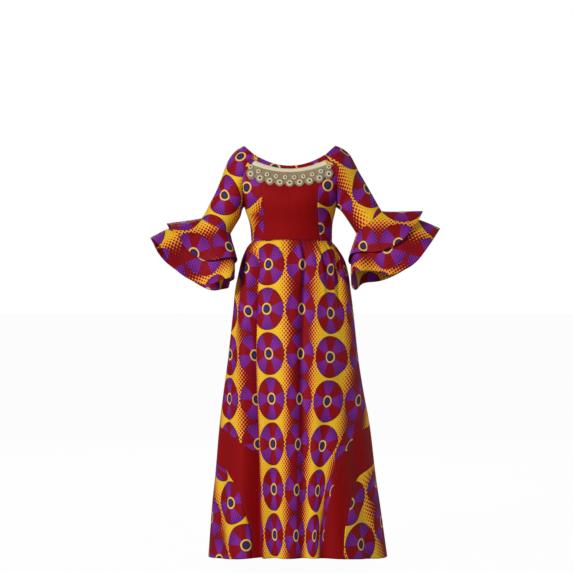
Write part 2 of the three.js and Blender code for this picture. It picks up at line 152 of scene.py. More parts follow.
class Nodes:
    """The node tree of one finish."""

    def __init__(self, name):
        self.material = bpy.data.materials.new(name)
        self.material.use_nodes = True
        self.tree = self.material.node_tree
        self.shader = self.tree.nodes["Principled BSDF"]

    def add(self, kind, settings, inputs, output=0):
        node = self.tree.nodes.new(kind)
        for key, value in settings.items():
            if key == "stops":
                self.stops(node, value)
            else:
                setattr(node, key, value)
        pairs = inputs.items() if isinstance(inputs, dict) else enumerate(inputs)
        for key, value in pairs:
            self.feed(node.inputs[key], value)
        return Value(self, node.outputs[output])

    def feed(self, socket, value):
        if isinstance(value, Value):
            self.tree.links.new(value.socket, socket)
        else:
            socket.default_value = value

    def stops(self, node, stops):
        elements = node.color_ramp.elements
        while len(elements) < len(stops):
            elements.new(0.5)
        for element, (place, colour) in zip(elements, stops):
            element.position = place
            element.color = colour

    def colour(self, under, over, mask):
        """`over` where the mask is 1, `under` where it is 0."""
        names = {"data_type": "RGBA"}
        node = self.tree.nodes.new("ShaderNodeMix")
        node.data_type = names["data_type"]
        self.feed(node.inputs[0], mask)
        self.feed(node.inputs[6], under)
        self.feed(node.inputs[7], over)
        return Value(self, node.outputs[2])

    def smooth(self, value, low, high):
        settings = {"interpolation_type": "SMOOTHSTEP"}
        return self.add("ShaderNodeMapRange", settings, {0: value, 1: low, 2: high, 3: 0.0, 4: 1.0})

    def finish(self, **sockets):
        for name, value in sockets.items():
            self.feed(self.shader.inputs[name.replace("_", " ")], value)
        return self.material


def paint(red, green, blue):
    """A colour given as on a screen, from 0 to 255, as the linear one that shaders take."""
    linear = [(c / 255 / 12.92) if c <= 10 else (((c / 255) + 0.055) / 1.055) ** 2.4 for c in (red, green, blue)]
    return (*linear, 1.0)


# ---------------------------------------------------------------- finishes

FLOOR_GLOW = 0.95
PITCH = 0.153          # distance between the print's discs, in metres of flat cloth
DISC = 0.0730          # radius of a disc
EYE_RING, EYE_DARK, EYE_HEART = 0.0205, 0.0150, 0.0092
OUTLINE = 0.0016
NET_PITCH = 0.0104
DOT_PITCH = 0.0082
RED = paint(142, 8, 24)
PURPLE = paint(130, 40, 146)
YELLOW = paint(240, 190, 36)
ORANGE = paint(252, 156, 50)
LACE_PITCH = 0.0052
NET_RED = paint(134, 8, 20)
DOT_VIOLET = paint(50, 4, 84)
DEEP_RED = paint(104, 6, 16)


def weave(nodes, coordinate, strength):
    """A fine plain weave: two sets of threads as a bump."""
    threads = [nodes.add("ShaderNodeTexWave", {"bands_direction": way}, {0: coordinate, 1: 1100.0}, 1)
               for way in ("X", "Y")]
    height = threads[0] + threads[1]
    slub = nodes.add("ShaderNodeTexNoise", {}, {"Vector": coordinate, "Scale": 220.0, "Detail": 4.0})
    return nodes.add("ShaderNodeBump", {}, {"Strength": strength, "Distance": 0.0004, "Height": height + slub * 2.0})


def print_finish():
    nodes = Nodes("wax print cotton")
    flat = nodes.add("ShaderNodeUVMap", {"uv_map": "flat"}, [])
    parts = nodes.tree.nodes.new("ShaderNodeSeparateXYZ")
    nodes.feed(parts.inputs[0], flat)
    u, v = Value(nodes, parts.outputs[0]), Value(nodes, parts.outputs[1])
    column, row = (u / PITCH).math("ROUND"), (v / PITCH).math("ROUND")
    x, y = u - column * PITCH, v - row * PITCH
    away = (x * x + y * y).math("SQRT")
    odd_column = (column * 0.5).math("FRACT") * 2.0
    wedge = y.math("ARCTAN2", x) / (math.pi / 4) + 8.5 - odd_column * 0.5
    turn = (wedge.math("FLOOR") + row + 64.0) * 0.5
    purple = (turn.math("FRACT") > 0.25)
    outward = nodes.smooth(away, 0.016, DISC)
    dot_u, dot_v = (u + v) / (DOT_PITCH * 1.414), (u - v) / (DOT_PITCH * 1.414)
    from_dot = [(d - d.math("ROUND")) for d in (dot_u, dot_v)]
    dot = (from_dot[0] * from_dot[0] + from_dot[1] * from_dot[1]).math("SQRT")
    dots = 1.0 - nodes.smooth(dot - outward * 0.36, -0.05, 0.05)
    violet = nodes.colour(PURPLE, DOT_VIOLET, dots)
    crimson = nodes.colour(RED, DEEP_RED, dots * 0.35)
    disc = nodes.colour(crimson, violet, purple)
    disc = nodes.colour(disc, DEEP_RED, nodes.smooth(away, DISC - OUTLINE - 0.0008, DISC - OUTLINE))
    disc = nodes.colour(disc, paint(150, 90, 60), 1.0 - nodes.smooth(away, EYE_RING, EYE_RING + 0.0016))
    disc = nodes.colour(disc, paint(240, 196, 96), 1.0 - nodes.smooth(away, EYE_RING - 0.0006, EYE_RING + 0.0002))
    disc = nodes.colour(disc, paint(52, 46, 40), 1.0 - nodes.smooth(away, EYE_DARK - 0.0006, EYE_DARK + 0.0004))
    disc = nodes.colour(disc, paint(62, 44, 120), 1.0 - nodes.smooth(away, EYE_HEART - 0.003, EYE_HEART + 0.002))
    aside = (x.math("ABSOLUTE") / PITCH)
    to_net = odd_column * (1.0 - aside) + (1.0 - odd_column) * aside
    net = nodes.smooth(to_net, 0.14, 0.86)
    net_u, net_v = (u + v) / (NET_PITCH * 1.414), (u - v) / (NET_PITCH * 1.414)
    from_hole = [(d - d.math("ROUND")).math("ABSOLUTE") for d in (net_u, net_v)]
    hole = from_hole[0].math("MAXIMUM", from_hole[1]) * 0.55 + (from_hole[0] + from_hole[1]) * 0.30
    holes = (1.0 - nodes.smooth(hole - net * 0.58, -0.06, 0.04)) * nodes.smooth(net, 0.03, 0.10)
    ground = nodes.colour(YELLOW, ORANGE, nodes.smooth(to_net, 0.3, 0.62))
    ground = nodes.colour(ground, NET_RED, holes)
    ragged = (hole - 0.3) * net * 0.012
    inside = 1.0 - nodes.smooth(away + ragged, DISC - 0.0005, DISC + 0.0005)
    cloth = nodes.colour(ground, disc, inside)
    worn = nodes.add("ShaderNodeTexNoise", {}, {"Vector": flat, "Scale": 26.0, "Detail": 5.0})
    shade = nodes.colour(cloth, paint(70, 20, 24), worn * 0.06)
    return nodes.finish(Base_Color=shade, Roughness=0.58 + worn * 0.12, Normal=weave(nodes, flat, 0.25),
                        Sheen_Weight=0.02, Sheen_Roughness=0.4, Specular_IOR_Level=0.1)


def red_finish():
    nodes = Nodes("plain red cotton")
    flat = nodes.add("ShaderNodeUVMap", {"uv_map": "flat"}, [])
    mottle = nodes.add("ShaderNodeTexNoise", {}, {"Vector": flat, "Scale": 40.0, "Detail": 6.0})
    colour = nodes.colour(paint(148, 4, 8), paint(134, 3, 6), mottle)
    return nodes.finish(Base_Color=colour, Roughness=0.6 + mottle * 0.12, Normal=weave(nodes, flat, 0.3),
                        Sheen_Weight=0.02, Sheen_Roughness=0.4, Specular_IOR_Level=0.1)


def thread_finish(name, bright, dark, scale):
    nodes = Nodes(name)
    place = nodes.add("ShaderNodeTexCoord", {}, [], 3)
    twist = nodes.add("ShaderNodeTexNoise", {}, {"Vector": place, "Scale": scale, "Detail": 4.0})
    bump = nodes.add("ShaderNodeBump", {}, {"Strength": 0.5, "Distance": 0.0005, "Height": twist})
    return nodes.finish(Base_Color=nodes.colour(dark, bright, twist), Roughness=0.75 + twist * 0.1, Normal=bump,
                        Sheen_Weight=0.1)


def lace_finish():
    """Taupe mesh with small holes between its threads."""
    nodes = Nodes("taupe lace")
    flat = nodes.add("ShaderNodeUVMap", {"uv_map": "flat"}, [])
    parts = nodes.tree.nodes.new("ShaderNodeSeparateXYZ")
    nodes.feed(parts.inputs[0], flat)
    u, v = Value(nodes, parts.outputs[0]), Value(nodes, parts.outputs[1])
    cells = [(d - d.math("ROUND")) for d in ((u + v) / LACE_PITCH, (u - v) / LACE_PITCH)]
    hole = (cells[0] * cells[0] + cells[1] * cells[1]).math("SQRT")
    thread = nodes.smooth(hole, 0.26, 0.34)
    twist = nodes.add("ShaderNodeTexNoise", {}, {"Vector": flat, "Scale": 700.0, "Detail": 4.0})
    bump = nodes.add("ShaderNodeBump", {}, {"Strength": 0.5, "Distance": 0.0006, "Height": hole + twist * 0.4})
    colour = nodes.colour(paint(140, 122, 92), paint(186, 170, 136), twist)
    return nodes.finish(Base_Color=colour, Roughness=0.78 + twist * 0.1, Alpha=thread, Normal=bump)


def floor_finish():
    """A pale floor with its own faint glow, so that it meets the white room without an edge."""
    nodes = Nodes("pale floor")
    nodes.finish(Base_Color=(0.4, 0.4, 0.4, 1), Roughness=0.9)
    glow = nodes.add("ShaderNodeEmission", {}, {"Color": (1, 1, 1, 1), "Strength": 1.02})
    seen = nodes.add("ShaderNodeLightPath", {}, []) * FLOOR_GLOW
    both = nodes.tree.nodes.new("ShaderNodeMixShader")
    for socket, value in zip(both.inputs, (seen, Value(nodes, nodes.shader.outputs[0]), glow)):
        nodes.feed(socket, value)
    nodes.tree.links.new(both.outputs[0], nodes.tree.nodes["Material Output"].inputs["Surface"])
    return nodes.material


# ---------------------------------------------------------------- tables and curves, in millimetres

def smooth_table(names, rows):
    """Rows with named columns, each measured at the row's first number, joined by smooth curves."""
    at = [row[0] for row in rows]

    def slope(column, k):
        before, after = max(k - 1, 0), min(k + 1, len(at) - 1)
        return (rows[after][column] - rows[before][column]) / (at[after] - at[before])

    def look_up(where):
        x = min(max(where, at[0]), at[-1])
        k = min(max(bisect.bisect_left(at, x) - 1, 0), len(at) - 2)
        step = at[k + 1] - at[k]
        u = (x - at[k]) / step
        found = {}
        for column, name in enumerate(names, 1):
            low, high = rows[k][column], rows[k + 1][column]
            bend = u * (1 - u) * step * (slope(column, k) * (1 - u) - slope(column, k + 1) * u)
            found[name] = low + (high - low) * (3 - 2 * u) * u * u + bend
        return found
    return look_up


def mix(low, high, share):
    return low + (high - low) * share


# ---------------------------------------------------------------- bodice

BODICE = smooth_table(
    ("seam_x", "seam_z", "seam_front", "seam_back", "turn", "front_y", "front_z", "back_y", "back_z", "shift",
     "princess"),
    [
        (0.00, 141, -336, 0, 0, 90, -96, -330, 78, -330, 7, 99),
        (0.25, 145, -274, 0, 0, 90, -108, -270, 88, -272, 5, 94),
        (0.50, 160, -215, 0, 0, 90, -123, -212, 98, -215, 2, 94),
        (0.58, 162, -188, -36, 38, 88, -122, -188, 99, -190, 1, 95),
        (0.67, 163, -157, -62, 62, 84, -118, -165, 98, -166, 0, 98),
        (0.76, 162, -125, -80, 76, 78, -110, -142, 95, -143, 0, 102),
        (0.85, 158, -92, -87, 80, 70, -101, -118, 90, -121, 0, 108),
        (0.93, 145, -62, -82, 74, 62, -91, -96, 84, -102, 0, 112),
        (1.00, 122, -36, -66, 60, 55, -80, -75, 76, -86, 0, 112),
    ],
)
BUST = {"x": 72, "z": -186, "rise": 6, "reach": 62}
BINDING_WIDTH = 0.035
SCALLOPS = 9


def bodice_point(height, turn, face):
    """`height` from 0 at the waist to 1 at the neck, `turn` in degrees, `face` -1 in front and 1 behind."""
    row = BODICE(height)
    full, angle = math.radians(row["turn"]), math.radians(turn)
    across = math.sin(angle) / math.sin(full)
    forward = (math.cos(angle) - math.cos(full)) / (1 - math.cos(full))
    centre, level, seam = (("front_y", "front_z", "seam_front") if face < 0 else ("back_y", "back_z", "seam_back"))
    x, z = row["seam_x"] * across, mix(row[level], row["seam_z"], across * across)
    aside, above = (abs(x) - BUST["x"]) / BUST["reach"], (z - BUST["z"]) / BUST["reach"]
    bust = BUST["rise"] * math.exp(-aside * aside - above * above) if face < 0 else 0
    return np.array((x + row["shift"], mix(row[seam], row[centre], forward) - bust, z))


def seam_turn(height):
    return BODICE(height)["turn"]


def princess_turn(height):
    row = BODICE(height)
    return math.degrees(math.asin(row["princess"] / row["seam_x"] * math.sin(math.radians(row["turn"]))))


# ---------------------------------------------------------------- sleeves and cuffs

SLEEVE_NAMES = ("seam", "out_x", "out_z", "mid_x", "mid_z", "depth", "extent", "forward")
SLEEVE = {
    "left": smooth_table(SLEEVE_NAMES, [
        (0, 1.00, 161, 1, 122, -36, 68, 90, 0), (1, 0.93, 189, -12, 134, -52, 80, 93, 0),
        (2, 0.85, 211, -32, 146, -80, 88, 100, 0), (3, 0.76, 228, -62, 160, -112, 90, 112, 0),
        (4, 0.67, 243, -92, 178, -138, 86, 130, 2), (5, 0.58, 257, -116, 194, -160, 78, 155, 5),
        (6, 0.50, 271, -141, 216, -178, 70, 180, 8), (7, 0.50, 288, -172, 234, -201, 66, 180, 16),
        (8, 0.50, 306, -205, 256, -236, 62, 180, 26), (9, 0.50, 321, -232, 277, -271, 58, 180, 35),
    ]),
    "right": smooth_table(SLEEVE_NAMES, [
        (0, 1.00, 161, 0, 122, -36, 68, 90, 0), (1, 0.93, 188, -16, 134, -53, 80, 93, 0),
        (2, 0.85, 209, -40, 146, -82, 88, 100, 0), (3, 0.76, 224, -70, 160, -115, 90, 112, 0),
        (4, 0.67, 236, -104, 176, -146, 86, 130, 2), (5, 0.58, 248, -136, 190, -172, 78, 155, 5),
        (6, 0.50, 261, -167, 211, -191, 70, 180, 8), (7, 0.50, 279, -202, 226, -226, 66, 180, 16),
        (8, 0.50, 295, -235, 243, -258, 62, 180, 26), (9, 0.50, 310, -257, 259, -284, 58, 180, 35),
    ]),
}
UNDERARM_ROW, ELBOW_ROW, BLEND_POWER = 6, 9, 3


def sleeve_point(side, row, angle):
    """`angle` in degrees round the arm: 0 outermost, negative towards the front."""
    ring = SLEEVE[side](row)

    def ellipse(degrees):
        turn = math.radians(degrees)
        return np.array((
            ring["mid_x"] + (ring["out_x"] - ring["mid_x"]) * math.cos(turn),
            ring["depth"] * math.sin(turn) - ring["forward"],
            ring["mid_z"] + (ring["out_z"] - ring["mid_z"]) * math.cos(turn),
        ))
    point = ellipse(angle)
    if row <= UNDERARM_ROW:
        face = -1 if angle < 0 else 1
        seam = bodice_point(ring["seam"], SIDES[side] * seam_turn(ring["seam"]), face)
        seam[0] *= SIDES[side]
        point = point + (seam - ellipse(face * ring["extent"])) * (abs(angle) / ring["extent"]) ** BLEND_POWER
    point[0] *= SIDES[side]
    return point


def round_arm(rows):
    before = [(row[0] - 360, *row[1:]) for row in rows[-2:]]
    after = [(row[0] + 360, *row[1:]) for row in rows[:2]]
    return smooth_table(("hem_x", "hem_y", "hem_z", "share", "lift"), before + rows + after)


FLOUNCE = {
    "left": round_arm([
        (-180, 212, -62, -460, 0.52, 8), (-150, 232, -128, -436, 0.52, 10), (-120, 291, -118, -440, 0.53, 12),
        (-90, 350, -132, -451, 0.55, 10), (-60, 430, -138, -411, 0.58, 12), (-30, 490, -98, -335, 0.60, 14),
        (0, 521, -22, -292, 0.61, 30), (30, 490, 42, -350, 0.60, 16), (60, 420, 84, -425, 0.57, 12),
        (90, 330, 92, -470, 0.55, 10), (120, 262, 62, -480, 0.53, 10), (150, 228, 8, -505, 0.52, 8),
    ]),
    "right": round_arm([
        (-180, 204, -58, -478, 0.56, 6), (-150, 196, -126, -458, 0.55, 8), (-120, 238, -146, -474, 0.56, 12),
        (-90, 304, -116, -483, 0.60, 14), (-60, 384, -132, -441, 0.60, 12), (-30, 440, -142, -358, 0.59, 10),
        (0, 482, -34, -324, 0.58, 16), (30, 471, 36, -364, 0.58, 12), (60, 426, 82, -416, 0.58, 10),
        (90, 349, 96, -470, 0.58, 10), (120, 283, 70, -504, 0.57, 8), (150, 226, 26, -500, 0.56, 6),
    ]),
}
FLOUNCE_ARCH = 12
FLUTES = [(7, 20, 4.0), (5, 140, 3.0), (11, 75, 1.6)]     # waves round the hem, phase in degrees, height
LAID_ON = 2.7


def lower_flounce_point(side, angle, share):
    seam = sleeve_point(side, ELBOW_ROW, angle)
    row = FLOUNCE[side](angle)
    hem = np.array((SIDES[side] * row["hem_x"], row["hem_y"], row["hem_z"]))
    middle = (sleeve_point(side, ELBOW_ROW, 0) + sleeve_point(side, ELBOW_ROW, 180)) / 2
    outward = seam - middle
    outward /= np.linalg.norm(outward)
    phase = 0 if side == "left" else 50
    flute = sum(high * math.sin(math.radians(count * angle + start + phase)) for count, start, high in FLUTES)
    return mix(seam, hem, share) + outward * (FLOUNCE_ARCH * math.sin(math.pi * share) + flute * share ** 1.5)


def upper_flounce_point(side, angle, share):
    row = FLOUNCE[side](angle)
    at = share * row["share"]
    here = lower_flounce_point(side, angle, at)
    along = lower_flounce_point(side, angle, at + 0.02) - here
    around = lower_flounce_point(side, angle + 0.5, at) - lower_flounce_point(side, angle - 0.5, at)
    out = np.cross(along, around) * SIDES[side]
    return here + out / np.linalg.norm(out) * (LAID_ON + row["lift"] * share ** 1.5)


# ---------------------------------------------------------------- skirt

SKIRT = smooth_table(("centre", "half", "front", "back"), [
    (0.000, 7, 141, 96, 78), (0.015, 8, 153, 106, 90), (0.055, 12, 177, 121, 106), (0.100, 13, 191, 129, 118),
    (0.150, 11, 201, 137, 129), (0.220, 12, 210, 147, 140), (0.370, 12, 228, 170, 162), (0.465, 13, 243, 184, 176),
    (0.585, 17, 263, 202, 194), (0.745, 20, 281, 221, 215), (0.830, 22, 293, 230, 225), (1.000, 28, 313, 246, 243),
])
WAIST = {"side": -336, "centre": -330}
HEM = {"side": -1433, "front": -1410, "back": -1436}
FOLD_AT = (0, 0.1, 0.35, 0.6, 1)
FOLDS = [smooth_table(("angle", "depth", "width"), list(zip(FOLD_AT, angle, depth, width)))
         for angle, depth, width in (
    ((-55, -47, -43, -36, -30.5), (0, 34, 44, 50, 56), (12, 15, 18, 21, 25)),
    ((18.6, 14, 10, 7.5, 3.8), (0, 20, 26, 24, 22), (12, 15, 18, 20, 22)),
    ((-24, -22, -19, -18, -16.7), (0, 6, 8, 18, 28), (14, 18, 20, 21, 22)),
    ((72, 56, 50, 24, 17.5), (0, 18, 0, 10, 22), (12, 14, 20, 26, 28)),
    ((-74, -72, -70, -66, -62), (0, 8, 6, 10, 16), (12, 16, 26, 34, 40)),
    ((44, 42, 44, 50, 54), (0, 8, 4, 10, 16), (12, 16, 26, 36, 40)),
    ((108, 110, 112, 114, 116), (0, 10, 14, 18, 22), (12, 18, 24, 30, 36)),
    ((146, 144, 142, 142, 140), (0, 22, 30, 36, 42), (12, 16, 20, 26, 32)),
    ((178, 176, 174, 172, 170), (0, 8, 12, 14, 22), (12, 18, 24, 30, 36)),
    ((212, 212, 214, 215, 216), (0, 20, 28, 36, 40), (12, 16, 20, 26, 32)),
    ((248, 246, 244, 244, 242), (0, 10, 12, 16, 24), (12, 18, 24, 30, 36)),
)]
GATHERS = [(31, 10, 2.4), (47, 200, 1.4), (19, 90, 2.2)]   # small pleats below the waist: count, phase, depth
BAND_TOP, BAND_FOOT = 0.578, 0.692
BAND_EDGES = {
    "left": {
        "upper": smooth_table(("angle",), [(BAND_TOP, 90), (0.593, 66), (0.611, 56), (0.647, 45), (0.695, 34.5),
                                           (0.75, 29), (0.815, 24), (0.88, 20.5), (1, 16.8)]),
        "lower": smooth_table(("angle",), [(BAND_FOOT, 90), (0.724, 62.5), (0.758, 50), (0.8, 43), (0.85, 37.5),
                                           (0.91, 32.5), (1, 29.6)]),
    },
    "right": {
        "upper": smooth_table(("angle",), [(BAND_TOP, -90), (0.608, -60), (0.63, -47.5), (0.655, -40), (0.7, -34),
                                           (0.8, -30.5), (1, -27)]),
        "lower": smooth_table(("angle",), [(BAND_FOOT, -90), (0.724, -63), (0.756, -50), (0.79, -43), (0.86, -38.5),
                                           (0.92, -35.5), (1, -34.6)]),
    },
}
GATHER = smooth_table(("angle",), [(0, 90), (0.1, 84), (0.35, 64), (0.58, 44), (0.7, 32), (0.85, 21), (1, 16)])
EDGE_POWER = 6
FRONT_COLUMNS, FRONT_ROWS = 240, 190


def skirt_point(share, degrees):
    row = SKIRT(share)
    across, forward = math.sin(math.radians(degrees)), math.cos(math.radians(degrees))
    depth = row["front"] if forward > 0 else row["back"]
    radius = math.hypot(row["half"] * across, depth * forward)
    fold = 0
    for table in FOLDS:
        place = table(share)
        apart = math.radians((degrees - place["angle"] + 180) % 360 - 180) * radius
        fold += max(place["depth"], 0) * math.exp(-(apart / place["width"]) ** 2)
    gather = sum(deep * math.sin(math.radians(count * degrees + start)) for count, start, deep in GATHERS)
    fold += gather * math.exp(-share / 0.12) * min(share / 0.02, 1)
    inward = 1 - fold / radius
    top = mix(WAIST["side"], WAIST["centre"], forward * forward)
    foot = mix(HEM["side"], HEM["front"] if forward > 0 else HEM["back"], forward * forward)
    return np.array((row["centre"] + row["half"] * across * inward, -depth * forward * inward, mix(top, foot, share)))


# ---------------------------------------------------------------- cloth from grids of points

SEAM_GAP = 0.06
MEETING = 0.05            # ends of a row closer than this are one point


def sheet_points(columns, rows, point_of):
    return np.array([[point_of(c / columns, r / rows) for c in range(columns + 1)] for r in range(rows + 1)])


def arc_lengths(points, axis):
    steps = np.linalg.norm(np.diff(points, axis=axis), axis=2)
    start = np.zeros_like(np.take(steps, [0], axis=axis))
    return np.concatenate([start, np.cumsum(steps, axis=axis)], axis=axis)


def facing(points, inside):
    right, down = np.diff(points, axis=1)[:-1], np.diff(points, axis=0)[:, :-1]
    return float((np.cross(down, right) * (points[:-1, :-1] - np.array(inside))).sum())


def shell(name, points, flat, finish, inside, thickness=CLOTH):
    """A shell with its outer face on the points, in millimetres, and the flat cloth's coordinates as its UV."""
    rows, columns = points.shape[:2]
    outward = facing(points, inside) > 0
    index = np.arange(rows * columns).reshape(rows, columns)
    for r in range(rows):
        if float(np.linalg.norm(points[r, 0] - points[r, -1])) < MEETING:
            index[r, -1] = index[r, 0]
    faces, corners = [], []
    for r in range(rows - 1):
        for c in range(columns - 1):
            loop = [(r, c), (r + 1, c), (r + 1, c + 1), (r, c + 1)]
            loop = loop if outward else loop[::-1]
            faces.append([int(index[k]) for k in loop])
            corners.extend(flat[k] for k in loop)
    mesh = bpy.data.meshes.new(name)
    used = sorted({k for face in faces for k in face})
    renumber = {old: new for new, old in enumerate(used)}
    vertices = points.reshape(-1, 3)[used] * MM
    mesh.from_pydata(vertices.tolist(), [], [[renumber[k] for k in face] for face in faces])
    layer = mesh.uv_layers.new(name="flat")
    layer.data.foreach_set("uv", np.array(corners, dtype=np.float32).ravel())
    mesh.polygons.foreach_set("use_smooth", [True] * len(mesh.polygons))
    mesh.materials.append(finish)
    piece = bpy.data.objects.new(name, mesh)
    bpy.context.scene.collection.objects.link(piece)
    wall = piece.modifiers.new("thickness", "SOLIDIFY")
    wall.thickness = thickness * MM
    wall.offset = -1
    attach(piece, "root")
    return piece


def cloth(node, points, flat, finish, inside, slot, thickness=CLOTH, rests_on=(), with_pieces=()):
    """The shell that stands for a node; the node's own part is hidden."""
    piece = shell(f"{node}_cloth", points, flat, finish, inside, thickness)
    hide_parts(node)
    return piece


def creased(points, inside, creases):
    """Soft troughs along straight lines from start to end, fading out at both."""
    right, down = np.gradient(points, axis=1), np.gradient(points, axis=0)
    out = np.cross(right, down)
    out /= np.maximum(np.linalg.norm(out, axis=2, keepdims=True), 1e-9)
    out *= np.sign((out * (points - np.array(inside))).sum())
    sunk = np.zeros(points.shape[:2])
    for start, end, depth, width in creases:
        along = np.array(end, dtype=float) - start
        t = np.clip((points - start) @ along / (along @ along), 0, 1)
        apart = np.linalg.norm(points - start - t[..., None] * along, axis=2)
        sunk += depth * np.exp(-(apart / width) ** 2) * 4 * t * (1 - t)
    return points - out * sunk[..., None]


def on_side(creases, sign):
    """The same creases on one side; on the right they lie a little lower and shallower."""
    lower, softer = (0, 1) if sign > 0 else (9, 0.8)
    return [((sign * a[0], a[1], a[2] - lower), (sign * b[0], b[1], b[2] - lower), depth * softer, width)
            for a, b, depth, width in creases]


def drop_seam(points, at_start, at_end, axis):
    """Draws the first and last lines of points back by half the gap between two pieces."""
    points = points.copy()
    along = np.moveaxis(points, axis, 0)
    for wanted, edge, step in ((at_start, 0, 1), (at_end, -1, -1)):
        if wanted:
            away = along[edge + step] - along[edge]
            size = np.linalg.norm(away, axis=1, keepdims=True)
            along[edge] = along[edge] + away / np.maximum(size, 1e-6) * np.minimum(SEAM_GAP, size * 0.4)
    return points


def hanging_flat(points, level, plumb):
    """Cloth hung on the straight grain: UV in metres, measured along the cloth from the line x = plumb."""
    around = arc_lengths(points, 1)
    flat = np.zeros((*points.shape[:2], 2))
    for r, row in enumerate(points):
        order = np.argsort(row[:, 0])
        start = np.interp(plumb, row[order, 0], around[r][order])
        flat[r, :, 0] = around[r] - start
        flat[r, :, 1] = -(row[:, 2] - level)
    return flat * MM


GATHERED = 1.2            # cloth taken up in small gathers, as a share of the width that shows
PRINT_LINES = smooth_table(("right_outer", "right", "middle", "left", "left_outer"), [
    # height, then the x of five columns of discs on the front of the skirt
    (-1400, -128, -60, 21, 82, 153),
    (-1180, -135, -62, 24, 100, 193),
    (-880, -146, -68, 34, 128, 238),
    (-570, -151, -82, 45, 143, 238),
    (-415, -152, -75, 47, 147, 188),
])
PRINT_DROP = {"right_outer": 12, "right": 0, "middle": 0, "left": 20, "left_outer": 22}
FIRST_COLUMN = -1


def front_flat(points, angles, share_of_row):
    """The front skirt's print, its columns of discs laid on the lines above and hanging lower at the sides."""
    around = arc_lengths(points, 1)
    flat = np.zeros((*points.shape[:2], 2))
    columns = [(FIRST_COLUMN + k) * PITCH / MM for k in range(len(PRINT_DROP))]
    for r, share in enumerate(share_of_row):
        row = SKIRT(share)
        lines = PRINT_LINES(float(points[r, points.shape[1] // 2, 2]))
        turns = [math.degrees(math.asin(max(min((lines[name] - row["centre"]) / row["half"], 0.995), -0.995)))
                 for name in PRINT_DROP]
        at = np.interp(turns, angles[r], around[r])
        u = np.interp(around[r], at, columns)
        u += np.minimum(around[r] - at[0], 0) * GATHERED + np.maximum(around[r] - at[-1], 0) * GATHERED
        drop = np.interp(around[r], at, list(PRINT_DROP.values())) * (1 - share)
        flat[r, :, 0] = u
        flat[r, :, 1] = -(points[r, :, 2] + drop - DISC_ROW_LEVEL)
    return flat * MM


def turned_flat(flat, degrees, shift):
    turn = math.radians(degrees)
    u, v = flat[..., 0], flat[..., 1]
    return np.stack([u * math.cos(turn) - v * math.sin(turn) + shift[0],
                     u * math.sin(turn) + v * math.cos(turn) + shift[1]], axis=2)


def round_flat(points):
    """A circular flounce, cut as part of a ring."""
    around, down = arc_lengths(points, 1), arc_lengths(points, 0)
    long = down[-1].mean()
    angle = (around[-1, -1] - around[0, -1]) / long
    radius = around[0, -1] / angle
    turn = (np.linspace(0, 1, points.shape[1]) - 0.5) * angle
    reach = radius + down
    return np.stack([reach * np.sin(turn), reach * np.cos(turn)], axis=2) * MM


# ---------------------------------------------------------------- the dress

DISC_ROW_LEVEL = -415     # height of a row of discs on the skirt, in millimetres
BODICE_LAID = {           # a disc's place on each panel, and how far the cloth's grain is turned there
    "left": {"plumb": 131, "level": -143, "turn": -14},
    "right": {"plumb": -150, "level": -150, "turn": 15.5},
    "back": {"plumb": 0, "level": -257, "turn": 0},
}
BODICE_CREASES = [        # start, end, depth and half width, on the wearer's left
    ((160, -34, -206), (108, -112, -172), 2.6, 7), ((158, -30, -226), (112, -104, -214), 1.8, 6),
    ((146, -12, -284), (112, -92, -300), 2.2, 6), ((143, -10, -306), (104, -90, -322), 2.0, 5),
    ((158, 34, -206), (96, 96, -180), 2.8, 8), ((146, 12, -286), (92, 82, -304), 2.4, 7),
    ((90, 92, -120), (30, 100, -150), 1.8, 10),
]
SLEEVE_CREASES = [
    ((168, -52, -186), (214, -76, -118), 3.2, 7), ((176, -52, -198), (240, -78, -168), 3.0, 6),
    ((190, -40, -218), (236, -72, -212), 2.4, 6), ((226, -70, -262), (284, -88, -226), 3.0, 7),
    ((234, -80, -280), (300, -84, -252), 2.4, 6), ((170, 52, -186), (216, 74, -122), 3.2, 8),
    ((186, 50, -206), (240, 66, -176), 2.8, 7), ((230, 34, -266), (286, 18, -232), 2.8, 7),
]
SLEEVE_LAID = {           # how far in front of the outer line, and below the neck, the first disc lies
    "left": {"forward": 33, "down": 42},
    "right": {"forward": 78, "down": 40},
}


